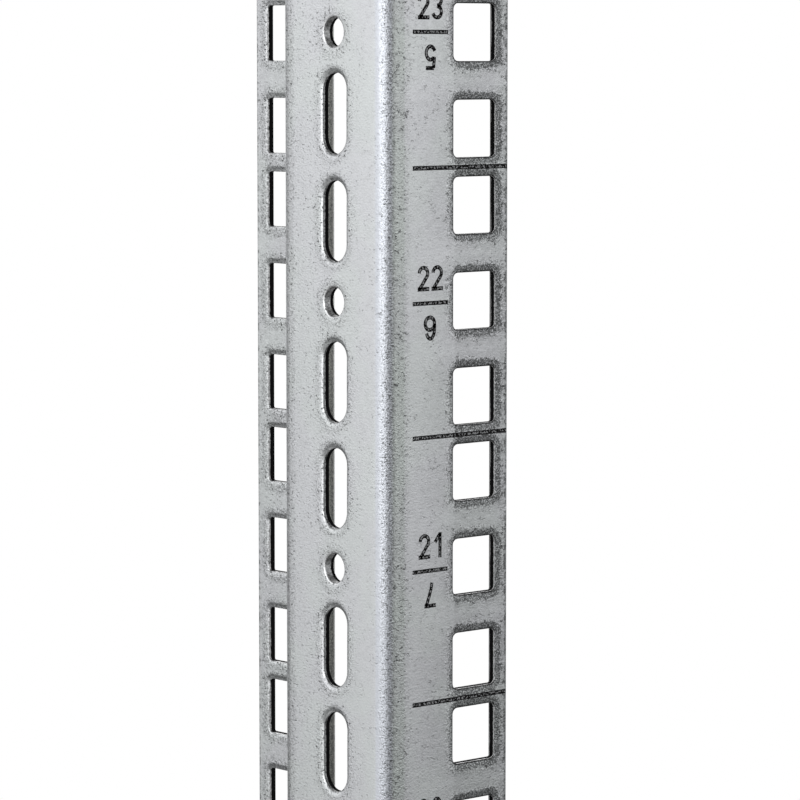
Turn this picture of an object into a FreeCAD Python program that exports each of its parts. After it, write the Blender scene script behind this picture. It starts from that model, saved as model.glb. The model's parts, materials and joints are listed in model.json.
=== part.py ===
import FreeCAD, Part
import math
import os

import Sketcher

# Support rail of a 19-inch rack: one strip of galvanised steel sheet, punched flat and folded three times.
# The front flange carries the square holes for cage nuts, the web beside it has the rail's own fixing slots,
# and a step behind the web leads to the side flange, which has a second row of square holes.
# Drawn frame: Z runs up the rail from its foot, the front flange's outer face lies in Y = 0 and faces -Y, and
# the web's outer face lies in X = 0 and faces -X. The finished rail is then placed by its fixing line, with the
# origin on the web's outer face, on the centre line of its holes and at half the rail's length.

NODE = "rail"
SHARP = None

# driving dimensions in millimetres, apart from the count of rack units
DRIVING_SIZES = (
    ("rack_units", "27", "rack units along the rail"),
    ("unit_height", "44.45", "height of one rack unit"),
    ("hole_pitch", "15.875", "step between the three square holes of one unit"),
    ("end_margin", "10", "plain sheet beyond the first and the last unit"),
    ("sheet", "1.5", "thickness of the sheet"),
    ("bend_radius", "1.5", "inside radius of the folds"),
    ("front_width", "27.5", "web's outer face to the front flange's free edge"),
    ("web_width", "27", "front flange's outer face to the step's outer face"),
    ("step_offset", "11.2", "web's outer face to the side flange's outer face"),
    ("side_width", "19.3", "step's outer face to the side flange's free edge"),
    ("square_hole", "9.5", "side of a square hole"),
    ("square_corner", "0.8", "corner radius of a square hole"),
    ("hole_edge", "7.5", "centre line of the square holes to the free edge beside it"),
    ("slot_line", "12.8", "front flange's outer face to the centre line of the web's holes"),
    ("slot_width", "6", "width of a fixing slot"),
    ("slot_length", "13.5", "length of a fixing slot over its round ends"),
    ("slot_spacing", "26.7", "step between the two slots of one unit, centre to centre"),
    ("round_hole", "5", "diameter of the hole between the two slots"),
)


class Size:
    """A length with its value in millimetres and the formula that works it out from the sheet's cells."""

    def __init__(self, value, formula):
        self.value = value
        self.formula = formula

    def __add__(self, other):
        return Size(self.value + other.value, f"({self.formula} + {other.formula})")

    def __sub__(self, other):
        return Size(self.value - other.value, f"({self.formula} - {other.formula})")

    def __mul__(self, other):
        return Size(self.value * other.value, f"({self.formula} * {other.formula})")

    def half(self):
        return Size(self.value / 2, f"({self.formula} / 2)")


def fill_sheet(doc):
    """The spreadsheet of driving dimensions, and each of them as a Size."""
    spreadsheet = doc.addObject("Spreadsheet::Sheet", "sizes")
    size = {}
    for row, (alias, value, meaning) in enumerate(DRIVING_SIZES, start=1):
        spreadsheet.set(f"A{row}", meaning)
        spreadsheet.set(f"B{row}", value)
        spreadsheet.setAlias(f"B{row}", alias)
        size[alias] = Size(float(value), f"sizes.{alias}")
    doc.recompute()
    return size


def origin_feature(body, role):
    """One of the body's own origin planes or axes."""
    return next(feature for feature in body.Origin.OriginFeatures if feature.Role == role)


def new_sketch(body, name, plane):
    """An empty sketch on one of the body's own origin planes."""
    sketch = body.newObject("Sketcher::SketchObject", name)
    sketch.AttachmentSupport = [(origin_feature(body, plane), "")]
    sketch.MapMode = "FlatFace"
    return sketch


def bind(sketch, kind, name, size, *places):
    """A dimension of the sketch that follows the sheet."""
    number = sketch.addConstraint(Sketcher.Constraint(kind, *places, size.value))
    sketch.renameConstraint(number, name)
    sketch.setExpression(f"Constraints.{name}", size.formula)


def place_line(sketch, direction, name, size, line):
    """Sets a line's distance from the origin along X or Y, or lays it on the axis where the distance is nil."""
    if size.value == 0:
        axis = -2 if direction == "X" else -1
        sketch.addConstraint(Sketcher.Constraint("PointOnObject", line, 1, axis))
        return
    bind(sketch, f"Distance{direction}", name, size, -1, 1, line, 1)


def add_arc(sketch, centre, start, end):
    """An arc that runs anticlockwise about its centre, from start to end."""
    out, back = start - centre, end - centre
    first = math.atan2(out.y, out.x)
    last = math.atan2(back.y, back.x)
    if last < first:
        last += 2 * math.pi
    circle = Part.Circle(centre, FreeCAD.Vector(0, 0, 1), out.Length)
    return sketch.addGeometry(Part.ArcOfCircle(circle, first, last))


def square_outline(sketch, sides, corners):
    """A closed outline of level and upright lines.

    sides gives each line's name, the direction in which it is placed and its place. corners gives the radius
    between each line and the next, or SHARP. A radius sets both lines back by its own length from the point
    where they would cross, and the arc's centre stands that far from each of them.
    """
    count = len(sides)
    crossings = []
    for (_, direction, place), (_, _, next_place) in zip(sides, sides[1:] + sides[:1]):
        x, y = (place, next_place) if direction == "X" else (next_place, place)
        crossings.append(FreeCAD.Vector(x.value, y.value, 0))
    setbacks = [0 if radius is SHARP else radius.value for radius in corners]
    along = [(crossings[i] - crossings[i - 1]).normalize() for i in range(count)]

    lines = []
    for i, (name, direction, place) in enumerate(sides):
        start = crossings[i - 1] + along[i] * setbacks[i - 1]
        end = crossings[i] - along[i] * setbacks[i]
        line = sketch.addGeometry(Part.LineSegment(start, end))
        sketch.addConstraint(Sketcher.Constraint("Vertical" if direction == "X" else "Horizontal", line))
        place_line(sketch, direction, name, place, line)
        lines.append(line)

    for i, radius in enumerate(corners):
        line, next_line = lines[i], lines[(i + 1) % count]
        if radius is SHARP:
            sketch.addConstraint(Sketcher.Constraint("Coincident", line, 2, next_line, 1))
            continue
        before, after = along[i], along[(i + 1) % count]
        start = crossings[i] - before * radius.value
        end = crossings[i] + after * radius.value
        centre = start + after * radius.value
        if before.cross(after).z > 0:
            arc = add_arc(sketch, centre, start, end)
            first, last = 1, 2
        else:
            arc = add_arc(sketch, centre, end, start)
            first, last = 2, 1
        sketch.addConstraint(Sketcher.Constraint("Tangent", line, 2, arc, first))
        sketch.addConstraint(Sketcher.Constraint("Tangent", arc, last, next_line, 1))
        bind(sketch, "Radius", f"{sides[i][0]}_corner", radius, arc)


def draw_square_hole(sketch, name, centre_x, centre_y, width, corner):
    """The outline of one square hole with rounded corners."""
    half = width.half()
    sides = [
        (f"{name}_bottom", "Y", centre_y - half),
        (f"{name}_right", "X", centre_x + half),
        (f"{name}_top", "Y", centre_y + half),
        (f"{name}_left", "X", centre_x - half),
    ]
    square_outline(sketch, sides, [corner] * len(sides))


def draw_slot(sketch, name, centre_x, centre_y, width, length):
    """The outline of one upright slot: two half-round ends and the two straight sides between them."""
    radius = width.half()
    straight = length - width
    bottom = centre_y - straight.half()
    low = FreeCAD.Vector(centre_x.value, bottom.value, 0)
    high = low + FreeCAD.Vector(0, straight.value, 0)
    across = FreeCAD.Vector(radius.value, 0, 0)
    upper = add_arc(sketch, high, high + across, high - across)
    lower = add_arc(sketch, low, low - across, low + across)
    right = sketch.addGeometry(Part.LineSegment(low + across, high + across))
    left = sketch.addGeometry(Part.LineSegment(high - across, low - across))
    for end, end_point, side, side_point in (
        (lower, 2, right, 1),
        (upper, 1, right, 2),
        (upper, 2, left, 1),
        (lower, 1, left, 2),
    ):
        sketch.addConstraint(Sketcher.Constraint("Tangent", end, end_point, side, side_point))
    sketch.addConstraint(Sketcher.Constraint("Equal", upper, lower))
    sketch.addConstraint(Sketcher.Constraint("Vertical", lower, 3, upper, 3))
    bind(sketch, "Radius", f"{name}_end", radius, lower)
    bind(sketch, "DistanceX", f"{name}_line", centre_x, -1, 1, lower, 3)
    bind(sketch, "DistanceY", f"{name}_bottom", bottom, -1, 1, lower, 3)
    bind(sketch, "DistanceY", f"{name}_straight", straight, lower, 3, upper, 3)


def draw_round_hole(sketch, centre_x, centre_y, diameter):
    """The outline of one round hole."""
    centre = FreeCAD.Vector(centre_x.value, centre_y.value, 0)
    circle = sketch.addGeometry(Part.Circle(centre, FreeCAD.Vector(0, 0, 1), diameter.value / 2))
    bind(sketch, "Diameter", "round_diameter", diameter, circle)
    bind(sketch, "DistanceX", "round_line", centre_x, -1, 1, circle, 3)
    bind(sketch, "DistanceY", "round_height", centre_y, -1, 1, circle, 3)


def punch(body, sketch, reverse, size):
    """Cuts a sketch's outlines through the sheet of the lowest unit and repeats them in every unit above it."""
    before = body.Shape.Volume
    pocket = body.newObject("PartDesign::Pocket", f"{sketch.Name}_punch")
    pocket.Profile = sketch
    pocket.Reversed = reverse
    # the punch goes past the sheet by the inside radius, which stops short of the next flange
    pocket.setExpression("Length", (size["sheet"] + size["bend_radius"]).formula)
    body.Document.recompute()
    if pocket.Shape.Volume >= before:
        raise RuntimeError(f"{pocket.Name} cuts nothing")

    pattern = body.newObject("PartDesign::LinearPattern", f"{sketch.Name}_row")
    pattern.Originals = [pocket]
    pattern.Direction = (origin_feature(body, "Z_Axis"), [""])
    pattern.Mode = "Spacing"
    pattern.setExpression("Offset", size["unit_height"].formula)
    pattern.setExpression("Occurrences", size["rack_units"].formula)
    body.Tip = pattern
    body.Document.recompute()


def rail_length(size):
    """All the rack units and the plain sheet at both ends."""
    return size["rack_units"] * size["unit_height"] + size["end_margin"] + size["end_margin"]


def fold_strip(body, size):
    """The folded strip at its full length, with the front flange, web, step and side flange in its section."""
    sheet = size["sheet"]
    nil = Size(0, "0")
    inside = size["bend_radius"]
    outside = inside + sheet
    sides = [
        ("front_outer", "Y", nil),
        ("front_end", "X", size["front_width"]),
        ("front_inner", "Y", sheet),
        ("web_inner", "X", sheet),
        ("step_inner", "Y", size["web_width"] - sheet),
        ("side_inner", "X", size["step_offset"] + sheet),
        ("side_end", "Y", size["web_width"] + size["side_width"]),
        ("side_outer", "X", size["step_offset"]),
        ("step_outer", "Y", size["web_width"]),
        ("web_outer", "X", nil),
    ]
    corners = [SHARP, SHARP, inside, inside, outside, SHARP, SHARP, inside, outside, outside]
    section = new_sketch(body, "section", "XY_Plane")
    square_outline(section, sides, corners)

    strip = body.newObject("PartDesign::Pad", "strip")
    strip.Profile = section
    strip.setExpression("Length", rail_length(size).formula)
    body.Tip = strip
    body.Document.recompute()


def punch_holes(body, size):
    """The rows of holes: square ones in the front and side flanges, slots and round ones in the web."""
    middle = size["end_margin"] + size["unit_height"].half()
    pitch = size["hole_pitch"]
    squares = (("low", middle - pitch), ("middle", middle), ("high", middle + pitch))

    front = new_sketch(body, "front_squares", "XZ_Plane")
    front_line = size["front_width"] - size["hole_edge"]
    side = new_sketch(body, "side_squares", "YZ_Plane")
    side.setExpression("AttachmentOffset.Base.z", size["step_offset"].formula)
    side_line = size["web_width"] + size["side_width"] - size["hole_edge"]
    for sketch, line, reverse in ((front, front_line, False), (side, side_line, True)):
        for name, height in squares:
            draw_square_hole(sketch, name, line, height, size["square_hole"], size["square_corner"])
        punch(body, sketch, reverse, size)

    web = new_sketch(body, "web_fixings", "YZ_Plane")
    line = size["slot_line"]
    reach = size["slot_spacing"].half()
    draw_round_hole(web, line, middle, size["round_hole"])
    for name, height in (("low", middle - reach), ("high", middle + reach)):
        draw_slot(web, name, line, height, size["slot_width"], size["slot_length"])
    punch(body, web, True, size)


doc = FreeCAD.newDocument("rack_support_rail")
driving = fill_sheet(doc)
rail = doc.addObject("PartDesign::Body", NODE)
rail.Label = NODE
fold_strip(rail, driving)
punch_holes(rail, driving)
rail.setExpression("Placement.Base.y", f"-{driving['slot_line'].formula}")
rail.setExpression("Placement.Base.z", f"-{rail_length(driving).half().formula}")

doc.recompute()
failed = [item.Name for item in doc.Objects if "Invalid" in item.State or "Error" in item.State]
if failed:
    raise RuntimeError(f"these objects failed: {failed}")
if rail.Shape.isNull() or not rail.Shape.isValid() or len(rail.Shape.Solids) != 1:
    raise RuntimeError("the rail isn't one valid solid")
os.makedirs("parts", exist_ok=True)
rail.Shape.exportStep(f"parts/{rail.Label}.step")
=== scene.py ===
import json
import math
from collections import namedtuple

import bpy
import numpy as np
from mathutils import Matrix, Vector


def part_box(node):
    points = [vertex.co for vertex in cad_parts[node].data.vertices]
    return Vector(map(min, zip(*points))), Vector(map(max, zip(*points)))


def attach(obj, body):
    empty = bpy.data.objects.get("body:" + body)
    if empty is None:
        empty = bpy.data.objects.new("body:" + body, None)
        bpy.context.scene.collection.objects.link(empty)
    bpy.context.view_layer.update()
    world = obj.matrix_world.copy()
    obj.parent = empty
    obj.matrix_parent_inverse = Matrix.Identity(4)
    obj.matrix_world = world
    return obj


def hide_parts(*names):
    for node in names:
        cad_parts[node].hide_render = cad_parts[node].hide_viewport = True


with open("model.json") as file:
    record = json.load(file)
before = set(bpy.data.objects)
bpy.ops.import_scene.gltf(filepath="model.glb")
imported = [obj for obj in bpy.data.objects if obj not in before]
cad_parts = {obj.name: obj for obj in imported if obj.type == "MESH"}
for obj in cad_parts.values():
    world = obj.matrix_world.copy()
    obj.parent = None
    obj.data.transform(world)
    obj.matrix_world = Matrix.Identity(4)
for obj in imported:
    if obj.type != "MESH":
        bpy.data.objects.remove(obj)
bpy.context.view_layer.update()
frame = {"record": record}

# The rail is one strip of zinc-coated steel sheet. It is punched flat from its outer face, which rolls the
# rims of the holes inwards, and is then folded three times into a front flange, a web, a step and a side
# flange. All its lengths are in millimetres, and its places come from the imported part.

MM = 0.001
rail_low, rail_high = (np.array(corner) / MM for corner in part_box("rail"))
mounts = {mount["name"]: mount for mount in frame["record"]["mounts"]}
UNITS = 27
UNIT = mounts["web_fixing"]["dims"]["spacing_y_mm"] / (UNITS - 1)
SHEET = 1.5
INSIDE_BEND = 1.5
OUTSIDE_BEND = INSIDE_BEND + SHEET
FRONT_FACE = rail_low[1]
FRONT_WIDTH = rail_high[0]
WEB_WIDTH = 27.0
STEP_OFFSET = mounts["side_face"]["pos_m"][0] / MM
SIDE_WIDTH = rail_high[1] - FRONT_FACE - WEB_WIDTH
FRONT_HOLE_LINE = mounts["front_square_holes"]["pos_m"][0] / MM
SIDE_HOLE_LINE = mounts["side_square_holes"]["pos_m"][1] / MM

# the strip from the front flange's free edge on: the length of each flat or bend on the outer face, its
# turn to the right or left, and its radius there
QUARTER = math.pi / 2
STRIP = (
    (FRONT_WIDTH - OUTSIDE_BEND, 0, None),
    (QUARTER * OUTSIDE_BEND, 1, OUTSIDE_BEND),
    (WEB_WIDTH - 2 * OUTSIDE_BEND, 0, None),
    (QUARTER * OUTSIDE_BEND, 1, OUTSIDE_BEND),
    (STEP_OFFSET - OUTSIDE_BEND - INSIDE_BEND, 0, None),
    (QUARTER * INSIDE_BEND, -1, INSIDE_BEND),
    (SIDE_WIDTH - INSIDE_BEND, 0, None),
)
stretch_ends = np.cumsum([length for length, _, _ in STRIP])
FRONT_BEND, WEB_START, WEB_END, STEP_START, STEP_END, SIDE_START, STRIP_WIDTH = stretch_ends


def fold(along, depth):
    """Folds the flat strip: where a point lies that is so far along it and so deep under its outer face.

    The heading starts along -X. A flat stretch adds its run in that heading, a bend adds the chord of its
    arc and turns the heading, and the depth is then laid off to the right of the heading, which is the
    sheet's inside.
    """
    x, y = FRONT_WIDTH, FRONT_FACE
    start, base, heading = 0.0, math.pi, math.pi
    for length, turn, radius in STRIP:
        run = np.clip(along - start, 0, length)
        if turn:
            angle = turn * run / radius
            x = x + turn * radius * (math.sin(base) - np.sin(base - angle))
            y = y + turn * radius * (np.cos(base - angle) - math.cos(base))
            heading = heading - angle
            base -= turn * QUARTER
        else:
            x = x + math.cos(base) * run
            y = y + math.sin(base) * run
        start += length
    return x + depth * np.sin(heading), y - depth * np.cos(heading)


def grid_quads(rows, columns, closed=False, ring=False):
    """Corner numbers of a grid's quads, which face the side that rows crossed with columns point to.

    A closed grid's last column joins its first one, and a ring's last row joins its first one.
    """
    number = np.arange(rows * columns).reshape(rows, columns)
    if closed:
        number = np.concatenate([number, number[:, :1]], axis=1)
    if ring:
        number = np.concatenate([number, number[:1]], axis=0)
    corners = (number[:-1, :-1], number[1:, :-1], number[1:, 1:], number[:-1, 1:])
    return np.stack(corners, axis=-1).reshape(-1, 4)


def rounded_outline(reach, corner, counts, arcs):
    """Points anticlockwise round a rounded rectangle, from the middle of its lower right corner.

    Each side is half a corner's arc, a straight run and half the next arc. reach is half the width and half
    the height; counts and arcs are the steps on an upright and on a level side, and how many of them lie on
    each arc.
    """
    sides = []
    for side in range(4):
        way = side % 2
        count, arc = counts[way], arcs[way]
        step = np.arange(count)
        turn = math.pi / 4 * (np.clip(step / arc, 0, 1) + np.clip((step - count + arc) / arc, 0, 1) - 1)
        ahead = 2 * np.clip((step - arc) / max(count - 2 * arc, 1), 0, 1) - 1
        out = reach[way] - corner + corner * np.cos(turn)
        on = ahead * (reach[1 - way] - corner) + corner * np.sin(turn)
        cosine, sine = ((1, 0), (0, 1), (-1, 0), (0, -1))[side]
        sides.append(np.stack([out * cosine - on * sine, out * sine + on * cosine], axis=-1))
    return np.concatenate(sides)


# a punched hole: half its width and height, its corners at the front and at the back, how far out and how
# deep its rim rolls in, the rim's curve as shares of both, how much more it rolls in at its top, the depth
# at which the punch's burnished band ends and the torn steel begins, and the height and wall of its collar
# behind
Hole = namedtuple("Hole", "reach corner back_corner rim_reach rim_drop rim_curve top_roll burnished collar")
EVEN_RIM = np.array([(1.0, 0.0), (0.8, 0.1), (0.1, 0.75), (0.0, 1.0)])
ROUND_RIM = np.array([(1.0, 0.0), (0.7, 0.05), (0.4, 0.25), (0.12, 0.7), (0.0, 1.0)])
HALF_SQUARE = 9.5 / 2
FRONT_SQUARE = Hole((HALF_SQUARE, HALF_SQUARE), 1.0, 0.3, 1.25, 0.17, EVEN_RIM, 0.0, 0.4, 0.0)
SIDE_SQUARE = Hole((HALF_SQUARE, HALF_SQUARE), 0.8, 0.3, 0.45, 0.15, EVEN_RIM, 1.4, 0.55, 0.0)
SLOT = Hole((6.0 / 2, 13.5 / 2), 3.0, 3.0, 0.75, 0.27, ROUND_RIM, 1.0, 0.75, 0.0)
ROUND = Hole((5.0 / 2, 5.0 / 2), 2.5, 2.5, 0.4, 0.17, EVEN_RIM, 0.0, 1.4, 0.5)


def hole_cell(hole, centre, half_width, low, high, counts, arcs):
    """One hole in its rectangle of sheet, as rings over the rim, down the wall and out again behind.

    The first ring is the rectangle's edge on the outer face. The rim eases off the face, follows its curve
    and steepens where it meets the wall. The wall ends at the sheet's inner face, or at the end of the
    hole's collar, whose own end and outer side follow. The last ring is the rectangle's edge on the inner
    face.
    """
    centre, reach = np.array(centre), np.array(hole.reach)
    left, right = centre[0] - half_width, centre[0] + half_width
    corners = np.array([(right, low), (right, high), (left, high), (left, low), (right, low)])
    edge = np.concatenate(
        [
            corners[side] + np.linspace(0, 1, counts[side % 2], endpoint=False)[:, None] * step
            for side, step in enumerate(np.diff(corners, axis=0))
        ]
    )
    beyond = np.maximum(np.abs(edge - centre) - (reach - hole.corner), 0)
    edge_distance = (np.hypot(beyond[:, 0], beyond[:, 1]) - hole.corner)[None]
    outline = rounded_outline(reach, hole.corner, counts, arcs)
    outward = rounded_outline(reach + 1, hole.corner + 1, counts, arcs) - outline
    roll = 1 + hole.top_roll * np.clip(2 * outline[:, 1] / reach[1] - 1, 0, 1)
    outs = hole.rim_reach * hole.rim_curve[:, :1] * roll
    drops = hole.rim_drop * hole.rim_curve[:, 1:] * roll
    behind = [(rounded_outline(reach, hole.back_corner, counts, arcs), hole.collar, 0.0)]
    if hole.collar:
        collar = outline + hole.collar * outward
        behind += [(collar, hole.collar, hole.collar), (collar, 0.0, hole.collar)]
    front_rings = centre + outline + outs[..., None] * outward
    back_rings = [centre + ring for ring, _, _ in behind]
    rings = np.stack([edge, *front_rings, *back_rings, edge])
    level = np.zeros((1, len(edge)))
    back_depths = [level + SHEET + past for _, past, _ in behind]
    depth = np.concatenate([level, drops, *back_depths, level + SHEET])
    back_outs = [level + out for _, _, out in behind]
    rim = np.concatenate([edge_distance, outs, *back_outs, edge_distance])
    burnished = np.full(depth.shape, hole.burnished)
    return rings[..., 0], rings[..., 1], depth, rim, burnished, grid_quads(*depth.shape, closed=True)


# the lines of holes along the strip, and the cells round the holes: a unit is so many rows of quads high,
# and a cell so many columns wide
front_line = FRONT_WIDTH - FRONT_HOLE_LINE
side_line = STRIP_WIDTH - (rail_high[1] - SIDE_HOLE_LINE)
slot_line = WEB_START - FRONT_FACE - OUTSIDE_BEND
SQUARE_PITCH = 15.875
SLOT_REACH = 26.7 / 2
SQUARE_CELL = 7.0
WEB_CELL = 5.5
ROWS = 28
ROW = UNIT / ROWS
COLUMNS = 8

# each hole's kind and place in the unit, its cell's half width, first and last row, and its arcs' steps
CELLS = (
    (FRONT_SQUARE, front_line, -SQUARE_PITCH, SQUARE_CELL, -14, -5, (3, 2)),
    (FRONT_SQUARE, front_line, 0, SQUARE_CELL, -5, 5, (3, 2)),
    (FRONT_SQUARE, front_line, SQUARE_PITCH, SQUARE_CELL, 5, 14, (3, 2)),
    (SIDE_SQUARE, side_line, -SQUARE_PITCH, SQUARE_CELL, -14, -5, (3, 2)),
    (SIDE_SQUARE, side_line, 0, SQUARE_CELL, -5, 5, (3, 2)),
    (SIDE_SQUARE, side_line, SQUARE_PITCH, SQUARE_CELL, 5, 14, (3, 2)),
    (SLOT, slot_line, -SLOT_REACH, WEB_CELL, -14, -3, (4, 4)),
    (ROUND, slot_line, 0, WEB_CELL, -3, 3, (3, 4)),
    (SLOT, slot_line, SLOT_REACH, WEB_CELL, 3, 14, (4, 4)),
)
cells = [
    hole_cell(hole, (hole_line, height), half_width, low * ROW, high * ROW, (high - low, COLUMNS), arcs)
    for hole, hole_line, height, half_width, low, high, arcs in CELLS
]

# places across the strip, on the outer face, between the cells: the rounded free edges, flats and bends
EDGE_ROUND = 0.25
BEND_STEPS = 4
edge_angles = np.radians([0, 30, 60, 90])
edge_in = EDGE_ROUND * np.stack([1 - np.cos(edge_angles), 1 - np.sin(edge_angles)], axis=-1)


def on_face(places):
    """Places along the strip with no depth, on the outer face."""
    return np.stack([places, np.zeros(len(places))], axis=-1)


front_edge = np.concatenate([edge_in, on_face([front_line - SQUARE_CELL])])
front_to_web = on_face(
    np.concatenate(
        [
            [front_line + SQUARE_CELL],
            np.linspace(FRONT_BEND, WEB_START, BEND_STEPS + 1),
            [slot_line - WEB_CELL],
        ]
    )
)
web_to_side = on_face(
    np.concatenate(
        [
            [slot_line + WEB_CELL],
            np.linspace(WEB_END, STEP_START, BEND_STEPS + 1),
            np.linspace(STEP_END, SIDE_START, BEND_STEPS + 1),
            [side_line - SQUARE_CELL],
        ]
    )
)
side_edge = np.array([STRIP_WIDTH, 0]) + edge_in[::-1] * np.array([-1, 1])
side_edge = np.concatenate([on_face([side_line + SQUARE_CELL]), side_edge])


def inner(places):
    """The same places on the sheet's inner face."""
    return np.stack([places[:, 0], SHEET - places[:, 1]], axis=-1)


# the distance from a rim that is given to sheet in no hole's cell
FAR_FROM_HOLES = 6.0


def carried_up(path, heights):
    """A path across the strip, carried up the rail: its places and depths at every height."""
    along = path[:, :1] + np.zeros(len(heights))
    depth = path[:, 1:] + np.zeros(len(heights))
    up = np.zeros((len(path), 1)) + heights
    no_hole = np.full(along.shape, FAR_FROM_HOLES)
    return along, up, depth, no_hole, np.zeros(along.shape), grid_quads(*along.shape)


half_units = UNITS * UNIT / 2
all_rows = np.linspace(-half_units, half_units, UNITS * ROWS + 1)
strips = [
    carried_up(np.concatenate([front_edge[::-1], inner(front_edge)]), all_rows),
    carried_up(np.concatenate([inner(side_edge), side_edge[::-1]]), all_rows),
]
for path in (front_to_web, web_to_side):
    strips += [carried_up(path[::-1], all_rows), carried_up(inner(path), all_rows)]

# the plain sheet beyond the first and the last unit, and the sawn ends with their broken edges
END_BREAK = 0.25
front_columns, web_columns, side_columns = (
    on_face(np.linspace(hole_line - reach, hole_line + reach, COLUMNS + 1)[1:-1])
    for hole_line, reach in ((front_line, SQUARE_CELL), (slot_line, WEB_CELL), (side_line, SQUARE_CELL))
)
outer_path = np.concatenate(
    [front_edge, front_columns, front_to_web, web_columns, web_to_side, side_columns, side_edge]
)
around = np.concatenate([outer_path[::-1], inner(outer_path), outer_path[-1:]])
count = len(outer_path)
end_rows = np.array([half_units, rail_high[2] - END_BREAK, rail_high[2]])
for heights, last, way in ((end_rows, -1, 1), (-end_rows[::-1], 0, -1)):
    block = carried_up(around, heights)
    end_depth = SHEET / 2 + (block[2][:, last] - SHEET / 2) * (1 - 2 * END_BREAK / SHEET)
    block[2][:, last] = end_depth
    cap = carried_up(outer_path, heights[[last, last]])
    cap[2][:] = np.stack([end_depth[count:2 * count], end_depth[:count][::-1]], axis=-1)[:, ::way]
    strips += [block, cap]

# every cell stands once in each unit, and the strips run the whole length
unit_middles = (np.arange(UNITS) - (UNITS - 1) / 2) * UNIT
tables = []
all_quads = []
total = 0
for patch_list, lifts in ((cells, unit_middles), (strips, np.zeros(1))):
    for along, up, depth, rim, burnished, quads in patch_list:
        table = np.stack([along, up, depth, rim, burnished], axis=-1).reshape(-1, 5)
        lifted = np.repeat(table[None], len(lifts), axis=0)
        lifted[..., 1] += lifts[:, None]
        tables.append(lifted.reshape(-1, 5))
        starts = total + len(table) * np.arange(len(lifts))
        all_quads.append((quads + starts[:, None, None]).reshape(-1, 4))
        total += len(tables[-1])
along, up, depth, rim, burnished = np.concatenate(tables).T
quads = np.concatenate(all_quads)
x, y = fold(along, depth)
points = np.stack([x, y, up], axis=-1)

# points of neighbouring patches that fall together become one, and the shift keeps round measures off the
# borders between keys
WELD = 0.002
WELD_SHIFT = 0.37
keys = np.floor(points / WELD + WELD_SHIFT).astype(np.int64)
_, kept, welded = np.unique(keys, axis=0, return_index=True, return_inverse=True)
quads = welded.ravel()[quads]


def put_in_scene(name, data):
    """A new object at the origin, with this mesh, lamp or camera."""
    made = bpy.data.objects.new(name, data)
    bpy.context.scene.collection.objects.link(made)
    return made


rail_mesh = bpy.data.meshes.new("rail_sheet")
rail_mesh.from_pydata((points[kept] * MM).tolist(), [], quads.tolist())
for name, values in (("along", along), ("depth", depth), ("rim", rim), ("burnished", burnished)):
    attribute = rail_mesh.attributes.new(name, "FLOAT", "POINT")
    attribute.data.foreach_set("value", values[kept].astype(np.float32))
rail_mesh.shade_smooth()
rail_mesh.set_sharp_from_angle(angle=math.radians(40))
rail = put_in_scene("rail_sheet", rail_mesh)
keep_flats = rail.modifiers.new("flat_faces_stay_flat", "WEIGHTED_NORMAL")
keep_flats.keep_sharp = True


class Tone:
    """A socket of a node tree. Arithmetic on it adds Math nodes, and node() adds any other kind."""

    def __init__(self, tree, socket=None):
        self.tree = tree
        self.socket = socket

    def node(self, kind, settings, values, output=0):
        """One output of a new node with these settings, and these values or links at its sockets."""
        made = self.tree.nodes.new(kind)
        for name, value in settings.items():
            setattr(made, name, value)
        for name, value in values.items():
            if isinstance(value, Tone):
                self.tree.links.new(value.socket, made.inputs[name])
            else:
                made.inputs[name].default_value = value
        return Tone(self.tree, made.outputs[output])

    def math(self, operation, first, second):
        """A Math node on two values."""
        return self.node("ShaderNodeMath", {"operation": operation}, {0: first, 1: second})

    def __add__(self, other):
        return self.math("ADD", self, other)

    def __sub__(self, other):
        return self.math("SUBTRACT", self, other)

    def __rsub__(self, other):
        return self.math("SUBTRACT", other, self)

    def __mul__(self, other):
        return self.math("MULTIPLY", self, other)

    __radd__ = __add__
    __rmul__ = __mul__

    def ramp(self, low, high):
        """0 below low and 1 above high, with a smooth rise between them."""
        return self.node(
            "ShaderNodeMapRange",
            {"interpolation_type": "SMOOTHSTEP"},
            {"Value": self, "From Min": low, "From Max": high},
        )

    def between(self, low, high, soft):
        """1 from low to high, falling to 0 over the soft distance at either side."""
        return self.ramp(low - soft, low) * (1 - self.ramp(high, high + soft))

    def noise(self, scale, detail=2.0, roughness=0.5):
        """Noise at this many cycles a metre, on the vector in this socket."""
        values = {"Vector": self, "Scale": scale, "Detail": detail, "Roughness": roughness}
        return self.node("ShaderNodeTexNoise", {"noise_dimensions": "3D"}, values)

    def blend(self, first, second):
        """From the first colour to the second as this value goes from 0 to 1."""
        return self.node("ShaderNodeMix", {"data_type": "RGBA"}, {0: self, 6: first, 7: second}, output=2)


def bare_material(name):
    """A material with an empty node tree, and the Tone that builds in it."""
    material = bpy.data.materials.new(name)
    material.use_nodes = True
    material.node_tree.nodes.clear()
    return material, Tone(material.node_tree)


def lay_on(mesh, material, finish):
    """Ends a material in its finish and gives it to the mesh."""
    surface = material.node_tree.nodes.new("ShaderNodeOutputMaterial")
    material.node_tree.links.new(finish.socket, surface.inputs["Surface"])
    mesh.materials.append(material)


COOL_ZINC = (0.66, 0.672, 0.688, 1)
GREEN_ZINC = (0.64, 0.685, 0.66, 1)
# the colour of the painted shade inside the step
STEP_SHADE_OLIVE = (0.67, 0.675, 0.6, 1)
LILAC_ZINC = (0.64, 0.665, 0.71, 1)
# the colour of the painted highlight on the holes' rims
RIM_HIGHLIGHT_ZINC = (0.86, 0.87, 0.88, 1)
# the dark zinc tone, which the painted shade also uses
DARK_ZINC_AND_SHADE = (0.13, 0.135, 0.135, 1)
# the black of the torn steel, also used for the painted shade at the front holes' edges
TORN_STEEL_AND_EDGE_SHADE = (0.015, 0.015, 0.016, 1)
BURNISHED_STEEL = (0.95, 0.95, 0.95, 1)
BURR_STEEL = (0.5, 0.5, 0.5, 1)

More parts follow.
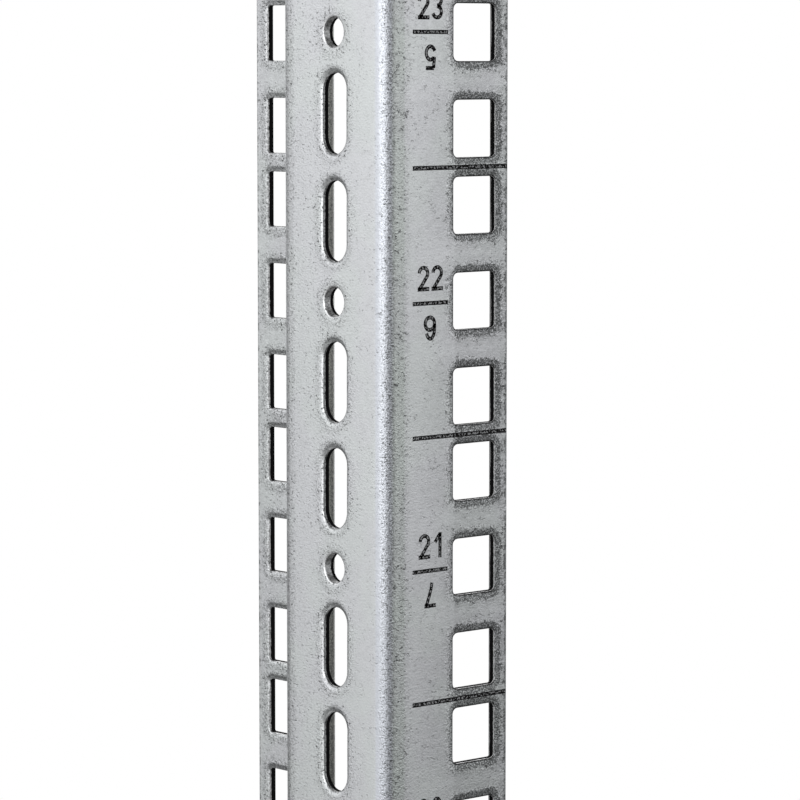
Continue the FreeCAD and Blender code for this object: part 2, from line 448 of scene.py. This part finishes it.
# the zinc's noises, some of them drawn out a little across the rail
zinc, tone = bare_material("zinc_sheet")
place = tone.node("ShaderNodeTexCoord", {}, {}, output="Object")
drawn_out = tone.node("ShaderNodeVectorMath", {"operation": "MULTIPLY"}, {0: place, 1: (0.7, 0.7, 1)})
grain = drawn_out.noise(2900, 2.0, 0.7)
patch = drawn_out.noise(900, 3.0, 0.6)
cloud = place.noise(150, 3.0, 0.6)
fleck = drawn_out.noise(2300, 2.0, 0.6)
ragged = drawn_out.noise(1500, 2.0) - 0.5
speckle = place.noise(4000, 1.0) - 0.5
cluster = place.noise(240, 2.0).ramp(0.45, 0.62)
tint = place.noise(75, 2.0)

# zones along the strip: the front flange, the zinc stretched by the folds, a band of painted shade across
# the front fold, and the free edges, whose rounding gets painted shade
along, depth, rim, burnished = (
    tone.node("ShaderNodeAttribute", {"attribute_name": name}, {}, output="Fac")
    for name in ("along", "depth", "rim", "burnished")
)
on_front = 1 - along.ramp(FRONT_BEND - 0.5, FRONT_BEND + 0.5)
front_fold = (along + 2 * ragged).between(FRONT_BEND - 1.4, FRONT_BEND + 2.4, 1.4)
fold_crown = along.between(FRONT_BEND + 1.5, FRONT_BEND + 3.9, 0.6)
# painted shade: the band of the front fold that would mirror the dark room on the camera's side is darkened
fold_painted_shade = along.between(FRONT_BEND + 1.4, FRONT_BEND + 2.2, 0.5)
fold_foot = along.between(FRONT_BEND - 0.9, FRONT_BEND + 1.2, 0.8)
cracked = along.between(FRONT_BEND + 1.2, FRONT_BEND + 2.9, 0.5)
web_fold = (along + 2 * ragged).between(WEB_END - 0.3, WEB_END + 3.0, 1.4)
web_back = along.between(slot_line + 2, WEB_END + 3.0, 3.0)
# painted shade on the rounded free edges of both flanges
free_edge_shade = 1 - (along + 1.6 * ragged).ramp(0.35, 0.8) * (STRIP_WIDTH - along + 2 * ragged).ramp(0.0, 0.5)
edge_strip = 1 - along.ramp(1.2, 2.6)

# zones of depth: the holes' walls, told apart by their burnished bands, and the inner faces, which get
# painted shade, most of all inside the step
at_wall = 1 - rim.ramp(0.005, 0.02)
wall = depth.ramp(0.1, 0.14) * at_wall
on_slot = burnished.between(SLOT.burnished - 0.05, SLOT.burnished + 0.05, 0.04)
on_side = burnished.between(SIDE_SQUARE.burnished - 0.03, SIDE_SQUARE.burnished + 0.03, 0.04)
on_round = burnished.ramp(ROUND.burnished - 0.2, ROUND.burnished - 0.1)
torn = (depth + 0.3 * ragged - burnished).ramp(-0.02, 0.02)
# painted shade on the inner faces, deepest inside the step, where the channel lies in shade
inside = depth.ramp(1.44, 1.49) * (1 - at_wall)
step_inside_shade = inside * along.between(WEB_END, SIDE_START + 0.5, 1.5)

# zones round the holes, from wide bands of worked zinc and painted shade to thin lines at their edges,
# among them painted shade and painted highlights
front_left = front_line + HALF_SQUARE
front_right = front_line - HALF_SQUARE
lit_left_side = along.ramp(front_left - 0.55, front_left + 0.15)
right_side = 1 - along.ramp(front_right, front_right + 0.15)
by_hole = 1 - (rim + 2 * ragged).ramp(0.8, 6.0)
by_slot = (1 - rim.ramp(1.0, 4.5)) * (1 - on_front)
near_rim = 1 - (rim + 2.5 * ragged).ramp(0.7, 2.3)
# the rolled rims of the front holes: a dark band of worked zinc, deepened by painted shade, and narrower on
# the holes' left sides, where the light falls
rim_band_and_shade = 1 - (rim + 1.3 * ragged + 0.4 * lit_left_side).ramp(0.95, 1.5)
slot_zone = (1 - (rim + ragged).ramp(1.3, 2.4)) * (1 - on_front)
slot_edge = (1 - rim.ramp(0.06, 0.3)) * along.between(WEB_START, slot_line - 0.5, 1.0)
smooth_rim = (1 - rim.ramp(0.4, 0.9)) * (1 - on_front)
# painted shade: a near-black line at the front holes' edges, except on their right sides
painted_edge_shade = (1 - rim.ramp(0.1, 0.34)) * (1 - right_side) * on_front
# painted highlight: a light line along the front holes' right edges
right_edge_highlight = (1 - rim.ramp(0.04, 0.12)) * right_side
# painted highlight: a broken bright line round the rims of the web's and side flange's holes, strongest at
# the round holes
rim_highlight_line = (rim + 0.5 * (1 - on_round) * ragged).between(0.12, 0.22, 0.1)
rim_highlight_dots = (grain + 0.12 + 0.13 * on_round).ramp(0.42, 0.56) * (0.4 + 0.6 * on_round)
painted_rim_highlight = rim_highlight_line * rim_highlight_dots * (1 - on_front) * (1 - inside)
burr = (depth + 0.3 * ragged + 0.8 * (cloud - 0.5)).ramp(1.15, 1.3)
burr = burr * (1 - along.ramp(front_right + 0.03, front_right + 0.25))

# the zinc is pale where nothing marks it, and dark zinc shows where it was worked or flecked; painted shade
# darkens it further at the places noted above, and painted highlights lighten it
worked = (
    0.65 * front_fold
    + 0.6 * web_fold
    + 0.25 * web_back
    + 0.9 * near_rim
    + 0.3 * by_slot
    + 0.6 * edge_strip
)
flecks = (1 - fleck.ramp(0.3, 0.43)) * (0.15 + 0.5 * cluster + 0.9 * worked)
# around the front holes the zinc is darker, and painted shade deepens the rims; both are lighter on the
# holes' left sides, where the light falls
front_marks_and_shade = (0.47 - 0.23 * lit_left_side) * rim_band_and_shade + (0.32 - 0.12 * lit_left_side) * by_hole + 0.06 * edge_strip
# painted shade over the side flange, deeper near the rims of its holes
side_flange_shade = along.ramp(SIDE_START - 1, SIDE_START + 1) * (0.15 + 0.12 * near_rim)
marks = (
    0.6 * flecks
    + 0.1 * front_fold
    + 0.08 * fold_painted_shade
    + 0.12 * fold_foot
    + 0.2 * web_fold
    + 0.07 * slot_zone
    + 0.35 * slot_edge
    + 0.6 * free_edge_shade
    + 0.1 * inside
    + 0.63 * step_inside_shade
    + on_front * front_marks_and_shade
    + side_flange_shade
    - 0.3 * painted_rim_highlight
    - 0.4 * right_edge_highlight
)
speckled = 0.4 + 3.2 * near_rim * on_front + 1.1 * slot_zone + 1.7 * cracked + 1.2 * step_inside_shade
mottle = (
    (0.25 + 1.2 * worked) * (grain - 0.5)
    + 0.35 * (patch - 0.5)
    + 0.2 * (cloud - 0.5)
    + speckled * speckle
)
pale_share = 0.98 + mottle - marks
pale_zinc = (0.4 * tint.ramp(0.42, 0.6) + 0.6 * fold_foot).blend(COOL_ZINC, GREEN_ZINC)
# the painted shade inside the step is olive
pale_zinc = step_inside_shade.blend(pale_zinc, STEP_SHADE_OLIVE)
pale_zinc = fold_crown.blend(pale_zinc, LILAC_ZINC)
# the painted highlight on the rims
pale_zinc = painted_rim_highlight.blend(pale_zinc, RIM_HIGHLIGHT_ZINC)
sheet_colour = pale_share.blend(DARK_ZINC_AND_SHADE, pale_zinc)
# the painted shade at the front holes' edges
sheet_colour = (0.9 * painted_edge_shade).blend(sheet_colour, TORN_STEEL_AND_EDGE_SHADE)
polish = 0.8 - 0.5 * on_slot - 0.4 * on_side - 0.3 * on_round + 2 * (grain - 0.5)
wall_colour = torn.blend(polish.blend(DARK_ZINC_AND_SHADE, BURNISHED_STEEL), TORN_STEEL_AND_EDGE_SHADE)
wall_colour = burr.blend(wall_colour, BURR_STEEL)
relief = (
    (0.5 + 0.6 * worked) * (1 - 0.7 * cracked) * (1 - 0.7 * smooth_rim) * grain
    + 0.5 * (cracked + fold_foot) * speckle
    - 0.4 * flecks
)
bump = tone.node("ShaderNodeBump", {}, {"Height": relief, "Strength": 0.8, "Distance": 0.1 * MM})
finish = tone.node(
    "ShaderNodeBsdfPrincipled",
    {},
    {
        "Base Color": wall.blend(sheet_colour, wall_colour),
        "Metallic": 0.9,
        "Roughness": 0.38 + 0.2 * (grain - 0.5) + 0.12 * rim_band_and_shade * on_front + 0.6 * wall * torn,
        "Normal": bump,
    },
)
lay_on(rail_mesh, zinc, finish)
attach(rail, "root")
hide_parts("rail")

# The unit marks are black ink printed on the front flange before folding: a long line between units, and a
# short one at each unit's middle, with the unit's number above it and the number counted from the other
# end, turned, below it. The ink is thin in spots, where the zinc shines through.

INK_HEIGHT = 0.02
LINE_START = 6.1
LONG_LINE_END = FRONT_WIDTH - EDGE_ROUND
SHORT_LINE_END = 13.9
LONG_LINE = 0.75
SHORT_LINE = 0.7
DIGIT_WIDTH = 2.55
ONE_WIDTH = 2.06
DIGIT_HEIGHT = 4.2
DIGIT_GAP = 0.5
STROKE = 0.67
NUMBER_MIDDLE = 10.0
NUMBER_LIFT = 2.02


def arc(x, y, across, up, first, last):
    """Points on an ellipse about (x, y), from one angle to another in degrees, about every 15 degrees."""
    angle = np.radians(np.linspace(first, last, math.ceil(abs(last - first) / 15) + 1))
    return np.stack([x + across * np.cos(angle), y + up * np.sin(angle)], axis=-1)


def line(*points):
    """Straight runs from point to point."""
    return np.array(points, float)


# middle lines of the digits' strokes, in a cell as wide and high as one digit
IN = STROKE / 2
MID_X, MID_Y = DIGIT_WIDTH / 2, DIGIT_HEIGHT / 2
BOWL = MID_X - IN
TOP = DIGIT_HEIGHT - IN
SIX = [
    np.concatenate([arc(MID_X, MID_Y, BOWL, TOP - MID_Y, 28, 180), line((IN, 1.37))]),
    arc(MID_X + 0.1, 1.37, BOWL + 0.1, 1.37 - IN, 0, 360),
]
DIGITS = {
    "0": [arc(MID_X, MID_Y, BOWL, TOP - MID_Y, 0, 360)],
    "1": [line((1.71, 0), (1.71, DIGIT_HEIGHT)), line((1.71, 3.95), (0.58, 2.65))],
    "2": [
        np.concatenate([arc(MID_X, 2.93, BOWL, TOP - 2.93, 178, -35), line((0.42, IN))]),
        line((0, IN), (DIGIT_WIDTH, IN)),
    ],
    "3": [
        arc(1.2, 3.08, 0.92, TOP - 3.08, 165, -90),
        arc(1.2, 1.255, BOWL, 1.255 - IN, 90, -165),
    ],
    "4": [
        line((1.8, DIGIT_HEIGHT), (1.8, 0)),
        line((1.75, 4.0), (0.2, 1.2)),
        line((0, 1.15), (DIGIT_WIDTH, 1.15)),
    ],
    "5": [
        line((2.3, TOP), (0.5, TOP)),
        np.concatenate([line((0.62, TOP), (0.4, 2.05)), arc(MID_X, 1.42, BOWL, 1.42 - IN, 132, -162)]),
    ],
    "6": SIX,
    "7": [
        line((0, TOP), (DIGIT_WIDTH, TOP)),
        line((2.15, TOP), (1.5, 2.3), (1.08, 1.1), (0.88, 0)),
    ],
    "8": [
        arc(MID_X, 3.07, 0.86, TOP - 3.07, 0, 360),
        arc(MID_X, 1.25, BOWL, 1.25 - IN, 0, 360),
    ],
    "9": [np.array([DIGIT_WIDTH, DIGIT_HEIGHT]) - stroke for stroke in SIX],
}


def ribbon(path, width):
    """A bar of ink along a path: across it five points, two low in the sheet and three on the ink's face.

    A closed path meets itself; an open one is shut by its first and last cross-section. The third column is
    the height over the sheet, and the fourth is 0 along the middle line and 1 along the edges.
    """
    ring = np.allclose(path[0], path[-1])
    if ring:
        path = path[:-1]
        ahead = np.roll(path, -1, axis=0) - np.roll(path, 1, axis=0)
    else:
        ahead = np.gradient(path, axis=0)
    left = np.stack([-ahead[:, 1], ahead[:, 0]], axis=-1)
    left = left / np.linalg.norm(left, axis=1, keepdims=True) * width / 2
    offsets = np.array([-1, -1, 0, 1, 1])
    place = path[:, None, :] + offsets[:, None] * left[:, None, :]
    height = np.zeros((len(path), 1)) + INK_HEIGHT * np.array([-1, 1, 1, 1, -1])
    edge = np.zeros((len(path), 1)) + np.abs(offsets)
    table = np.concatenate([place, height[..., None], edge[..., None]], axis=-1)
    faces = grid_quads(len(path), 5, closed=True, ring=ring).tolist()
    if not ring:
        last = 5 * (len(path) - 1)
        faces += [[0, 1, 2, 3, 4], [last + 4, last + 3, last + 2, last + 1, last]]
    return table.reshape(-1, 4), faces


def number_strokes(number):
    """The strokes of a number, centred on x = 0, with its foot at y = 0."""
    digits = str(number)
    ends = np.cumsum([DIGIT_GAP + (ONE_WIDTH if digit == "1" else DIGIT_WIDTH) for digit in digits])
    starts = np.append(0, ends[:-1]) - (ends[-1] - DIGIT_GAP) / 2
    strokes = []
    for digit, start in zip(digits, starts):
        strokes += [stroke + np.array([start, 0]) for stroke in DIGITS[digit]]
    return strokes


bars = []
lift = np.array([0, NUMBER_LIFT])
for number, middle in enumerate(unit_middles, start=1):
    base = np.array([NUMBER_MIDDLE, middle])
    bars.append((line((LINE_START, middle), (SHORT_LINE_END, middle)), SHORT_LINE))
    bars += [(base + lift + stroke, STROKE) for stroke in number_strokes(number)]
    bars += [(base - lift - stroke, STROKE) for stroke in number_strokes(UNITS + 1 - number)]
for border in np.append(unit_middles - UNIT / 2, half_units):
    bars.append((line((LINE_START, border), (LONG_LINE_END, border)), LONG_LINE))

ink_points = []
ink_faces = []
total = 0
for path, width in bars:
    table, faces = ribbon(path, width)
    ink_points.append(table)
    ink_faces += [[corner + total for corner in face] for face in faces]
    total += len(table)
ink_across, ink_up, ink_height, ink_edge = np.concatenate(ink_points).T
ink_places = np.stack([ink_across, FRONT_FACE - ink_height, ink_up], axis=-1) * MM
ink_mesh = bpy.data.meshes.new("unit_marks")
ink_mesh.from_pydata(ink_places.tolist(), [], ink_faces)
attribute = ink_mesh.attributes.new("edge", "FLOAT", "POINT")
attribute.data.foreach_set("value", ink_edge.astype(np.float32))
unit_marks = put_in_scene("unit_marks", ink_mesh)

BLACK_INK = (0.004, 0.004, 0.004, 1)
THIN_INK = (0.3, 0.305, 0.31, 1)
ink, tone = bare_material("print")
place = tone.node("ShaderNodeTexCoord", {}, {}, output="Object")
edge = tone.node("ShaderNodeAttribute", {"attribute_name": "edge"}, {}, output="Fac")
thin = place.noise(2800, 1.0).ramp(0.49, 0.58) * (1 - edge.ramp(0.3, 0.8))
finish = tone.node(
    "ShaderNodeBsdfPrincipled",
    {},
    {"Base Color": thin.blend(BLACK_INK, THIN_INK), "Roughness": 0.7, "Specular IOR Level": 0.1},
)
lay_on(ink_mesh, ink, finish)
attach(unit_marks, "root")

# The floor is a pale round board under the rail's foot. It takes the rail's shadow and fades out into the
# white backdrop before its rim.

FLOOR_RADIUS = 0.9
FLOOR_FADE_START = 0.3
FLOOR_FADE_END = 0.85
FLOOR_WHITE = (0.9, 0.9, 0.9, 1)
FLOOR_GLOW = (0.45, 0.45, 0.45, 1)
NO_GLOW = (0, 0, 0, 1)
floor_rings = np.linspace(0.01, FLOOR_RADIUS, 12)
floor_spokes = np.radians(np.arange(0, 360, 7.5))
radius, angle = np.meshgrid(floor_rings, floor_spokes, indexing="ij")
floor_height = np.full(radius.shape, rail_low[2] * MM)
floor_points = np.stack([radius * np.cos(angle), radius * np.sin(angle), floor_height], axis=-1)
floor_faces = grid_quads(*radius.shape, closed=True).tolist() + [list(range(len(floor_spokes)))]
floor_mesh = bpy.data.meshes.new("floor")
floor_mesh.from_pydata(floor_points.reshape(-1, 3).tolist(), [], floor_faces)
floor = put_in_scene("floor", floor_mesh)
paper, tone = bare_material("floor_paper")
place = tone.node("ShaderNodeTexCoord", {}, {}, output="Object")
level = tone.node("ShaderNodeVectorMath", {"operation": "MULTIPLY"}, {0: place, 1: (1, 1, 0)})
from_foot = tone.node("ShaderNodeVectorMath", {"operation": "LENGTH"}, {0: level}, output="Value")
shown = sum(
    tone.node("ShaderNodeLightPath", {}, {}, output=name)
    for name in ("Is Camera Ray", "Is Glossy Ray", "Is Transmission Ray")
)
finish = tone.node(
    "ShaderNodeBsdfPrincipled",
    {},
    {
        "Base Color": FLOOR_WHITE,
        "Roughness": 0.9,
        "Alpha": 1 - from_foot.ramp(FLOOR_FADE_START, FLOOR_FADE_END),
        "Emission Color": shown.blend(NO_GLOW, FLOOR_GLOW),
        "Emission Strength": 1.0,
    },
)
lay_on(floor_mesh, paper, finish)

# The studio is a white backdrop behind the rail and a grey room on the camera's side, dark overhead and
# underfoot. Four tall soft boxes stand round the rail and light it softly from all sides.

VIEW_HEADING = math.radians(41.68)
BACKDROP_WAY = (math.sin(VIEW_HEADING), math.cos(VIEW_HEADING), 0)
UPWARDS = (0, 0, 1)
ROOM_GREY = (0.8, 0.8, 0.815, 1)
CEILING_GREY = (0.08, 0.08, 0.08, 1)
WHITE = (1, 1, 1, 1)
world = bpy.data.worlds.new("studio")
bpy.context.scene.world = world
world.use_nodes = True
world.node_tree.nodes.clear()
tone = Tone(world.node_tree)
way = tone.node("ShaderNodeTexCoord", {}, {}, output="Generated")
towards, height = (
    tone.node("ShaderNodeVectorMath", {"operation": "DOT_PRODUCT"}, {0: way, 1: direction}, output="Value")
    for direction in (BACKDROP_WAY, UPWARDS)
)
camera_ray, glossy_ray, transmission_ray = (
    tone.node("ShaderNodeLightPath", {}, {}, output=name)
    for name in ("Is Camera Ray", "Is Glossy Ray", "Is Transmission Ray")
)
level = height.ramp(-0.3, 0.22) * (1 - height.ramp(0.3, 0.7))
beside = towards.ramp(-0.92, -0.75)
level = level * (beside + 1.15 * level * (1 - beside))
backdrop = towards.ramp(-0.35, 0.35) * level
shown = camera_ray + transmission_ray + 0.25 * glossy_ray * backdrop
studio = shown.blend(level.blend(CEILING_GREY, ROOM_GREY), WHITE)
background = tone.node("ShaderNodeBackground", {}, {"Color": studio, "Strength": 1.0})
surface = world.node_tree.nodes.new("ShaderNodeOutputWorld")
world.node_tree.links.new(background.socket, surface.inputs["Surface"])


def soft_box(name, heading, distance, height, width, tall, power):
    """A tall soft box that stands at this heading from +X, in degrees, and faces the rail."""
    lamp = bpy.data.lights.new(name, "AREA")
    lamp.shape = "RECTANGLE"
    lamp.size = width
    lamp.size_y = tall
    lamp.energy = power
    box = put_in_scene(name, lamp)
    turn = math.radians(heading)
    box.location = (distance * math.cos(turn), distance * math.sin(turn), height)
    box.rotation_euler = (QUARTER, 0, turn + QUARTER)
    box.visible_camera = False


soft_box("side_box", 152, 1.5, 0.35, 1.9, 1.8, 7.2)
soft_box("left_box", 207, 1.5, 0.92, 1.25, 1.8, 13.0)
soft_box("right_box", 302, 1.8, 0.7, 1.5, 1.8, 4.5)
soft_box("back_box", 42, 1.8, 0.5, 1.5, 1.8, 11.0)

# The camera has a long lens and stands at the photograph's place, a little above the middle of unit 22 and
# in front of the folded edge, and looks slightly downwards.

LENS = 163.6
CAMERA_PLACE = (-0.39112, -0.45581, 0.39649)
CAMERA_PITCH = math.radians(5.44)
lens = bpy.data.cameras.new("camera")
lens.sensor_width = 36.0
lens.lens = LENS
lens.clip_start = 0.01
camera = put_in_scene("camera", lens)
camera.location = CAMERA_PLACE
camera.rotation_euler = (QUARTER - CAMERA_PITCH, 0, -VIEW_HEADING)
bpy.context.scene.camera = camera
bpy.context.scene.view_settings.view_transform = "Standard"
